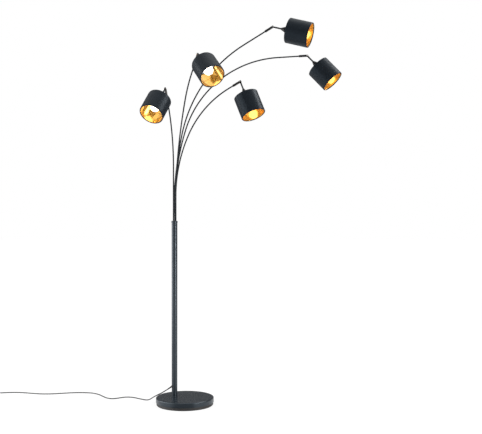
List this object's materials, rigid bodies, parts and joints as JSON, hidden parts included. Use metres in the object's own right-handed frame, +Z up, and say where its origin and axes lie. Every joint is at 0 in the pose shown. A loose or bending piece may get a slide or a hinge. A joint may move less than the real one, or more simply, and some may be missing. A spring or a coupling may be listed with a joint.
{
  "type": "tree floor lamp",
  "caption": "Tree floor lamp: weighted round base, short thick pole, thin bent arms fanning from its top, and a tilting drum shade with a bulb on each arm.",
  "frame": {"origin": "centre of the round base on the floor, underneath its floor pad", "axes": "+Z up along the pole, +X to the right of the picture, -Y towards the viewer of the picture"},
  "size_m": [2.0753, 0.6694, 1.9614],
  "materials": {
    "floor_pad": "matt foam rubber",
    "ballast": "rough casting, dark",
    "stand_paint": "satin anthracite powder coat",
    "zinc_steel": "zinc plated",
    "black_moulding": "matt",
    "flex_sheath": "smooth sheath",
    "cord_sheath": "satin sheath",
    "switch_gloss": "gloss black",
    "arm_paint": "satin near-black powder coat",
    "grip_gloss": "gloss black",
    "nickel": "polished nickel",
    "holder_moulding": "matt heatproof moulding",
    "frame_paint": "black lacquer",
    "shade_textile": "woven textile, near-black blue grey",
    "gold_foil": "glossy gold foil",
    "opal_glass": "opal white"
  },
  "bodies": {
    "stand": {"base_pad": "floor_pad", "base_weight": "ballast", "base_cover": "stand_paint", "base_bolt": "zinc_steel", "pole_tube": "stand_paint", "pole_cap": "stand_paint", "arm_socket": "black_moulding", "inner_wiring": "flex_sheath", "cord_gland": "black_moulding", "mains_cord": "cord_sheath", "cord_coil": "cord_sheath", "foot_switch_case": "switch_gloss", "foot_switch_base": "black_moulding", "mains_plug": "switch_gloss"},
    "switch_button": {"foot_switch_button": "switch_gloss"},
    "arm_1": {"arm_tube_1": "arm_paint"},
    "grip_1": {"arm_grip_1": "grip_gloss", "knuckle_screw_1": "nickel"},
    "head_1": {"head_stem_1": "arm_paint", "lamp_holder_1": "holder_moulding", "shade_frame_1": "frame_paint", "shade_cover_1": "shade_textile", "shade_liner_1": "gold_foil", "bulb_1": "opal_glass"},
    "arm_2": {"arm_tube_2": "arm_paint"},
    "grip_2": {"arm_grip_2": "grip_gloss", "knuckle_screw_2": "nickel"},
    "head_2": {"head_stem_2": "arm_paint", "lamp_holder_2": "holder_moulding", "shade_frame_2": "frame_paint", "shade_cover_2": "shade_textile", "shade_liner_2": "gold_foil", "bulb_2": "opal_glass"},
    "arm_3": {"arm_tube_3": "arm_paint"},
    "grip_3": {"arm_grip_3": "grip_gloss", "knuckle_screw_3": "nickel"},
    "head_3": {"head_stem_3": "arm_paint", "lamp_holder_3": "holder_moulding", "shade_frame_3": "frame_paint", "shade_cover_3": "shade_textile", "shade_liner_3": "gold_foil", "bulb_3": "opal_glass"},
    "arm_4": {"arm_tube_4": "arm_paint"},
    "grip_4": {"arm_grip_4": "grip_gloss", "knuckle_screw_4": "nickel"},
    "head_4": {"head_stem_4": "arm_paint", "lamp_holder_4": "holder_moulding", "shade_frame_4": "frame_paint", "shade_cover_4": "shade_textile", "shade_liner_4": "gold_foil", "bulb_4": "opal_glass"},
    "arm_5": {"arm_tube_5": "arm_paint"},
    "grip_5": {"arm_grip_5": "grip_gloss", "knuckle_screw_5": "nickel"},
    "head_5": {"head_stem_5": "arm_paint", "lamp_holder_5": "holder_moulding", "shade_frame_5": "frame_paint", "shade_cover_5": "shade_textile", "shade_liner_5": "gold_foil", "bulb_5": "opal_glass"}
  },
  "joints": [
    {"name": "switch_press", "type": "slide", "parent": "stand", "child": "switch_button", "axis": [0, 0, -1], "range_m": [0, 0.003], "stiffness_N_per_m": 600, "springref_m": -0.002},
    {"name": "arm_turn_1", "type": "hinge", "parent": "stand", "child": "arm_1", "pos_m": [-0.06189, 0.0294, 0.943], "axis": [0, 0, 1], "range_deg": [-40, 12]},
    {"name": "head_swivel_1", "type": "hinge", "parent": "arm_1", "child": "grip_1", "pos_m": [-0.09707, -0.04963, 1.63178], "axis": [-0.1491, -0.3348, 0.9304], "range_deg": [-150, 35]},
    {"name": "head_tilt_1", "type": "hinge", "parent": "grip_1", "child": "head_1", "pos_m": [-0.09707, -0.04963, 1.63178], "axis": [0.9023, -0.431, -0.0105], "range_deg": [-240, 8]},
    {"name": "arm_turn_2", "type": "hinge", "parent": "stand", "child": "arm_2", "pos_m": [-0.05323, 0.01979, 0.943], "axis": [0, 0, 1], "range_deg": [-8, 12]},
    {"name": "head_swivel_2", "type": "hinge", "parent": "arm_2", "child": "grip_2", "pos_m": [0.07825, -0.2126, 1.77474], "axis": [0.3145, -0.556, 0.7694], "range_deg": [-150, 75]},
    {"name": "head_tilt_2", "type": "hinge", "parent": "grip_2", "child": "head_2", "pos_m": [0.07825, -0.2126, 1.77474], "axis": [0.8627, 0.5055, 0.0125], "range_deg": [-215, 32]},
    {"name": "arm_turn_3", "type": "hinge", "parent": "stand", "child": "arm_3", "pos_m": [-0.06105, 0.02145, 0.943], "axis": [0, 0, 1], "range_deg": [-30, 12]},
    {"name": "head_swivel_3", "type": "hinge", "parent": "arm_3", "child": "grip_3", "pos_m": [0.44892, -0.15415, 1.92331], "axis": [0.8372, -0.2883, 0.4648], "range_deg": [-150, 150]},
    {"name": "head_tilt_3", "type": "hinge", "parent": "grip_3", "child": "head_3", "pos_m": [0.44892, -0.15415, 1.92331], "axis": [0.2891, 0.9546, 0.0714], "range_deg": [-168, 80]},
    {"name": "arm_turn_4", "type": "hinge", "parent": "stand", "child": "arm_4", "pos_m": [-0.05459, 0.03265, 0.943], "axis": [0, 0, 1], "range_deg": [-12, 40]},
    {"name": "head_swivel_4", "type": "hinge", "parent": "arm_4", "child": "grip_4", "pos_m": [0.63873, 0.05444, 1.82093], "axis": [0.9971, 0.0313, 0.0698], "range_deg": [-150, 150]},
    {"name": "head_tilt_4", "type": "hinge", "parent": "grip_4", "child": "head_4", "pos_m": [0.63873, 0.05444, 1.82093], "axis": [-0.0089, 0.9534, -0.3016], "range_deg": [-178, 70]},
    {"name": "arm_turn_5", "type": "hinge", "parent": "stand", "child": "arm_5", "pos_m": [-0.04924, 0.02671, 0.943], "axis": [0, 0, 1], "range_deg": [-12, 20]},
    {"name": "head_swivel_5", "type": "hinge", "parent": "arm_5", "child": "grip_5", "pos_m": [0.28722, -0.06977, 1.66413], "axis": [0.8487, -0.2434, 0.4695], "range_deg": [-65, 100]},
    {"name": "head_tilt_5", "type": "hinge", "parent": "grip_5", "child": "head_5", "pos_m": [0.28722, -0.06977, 1.66413], "axis": [0.3512, 0.9231, -0.1565], "range_deg": [-115, 30]}
  ]
}
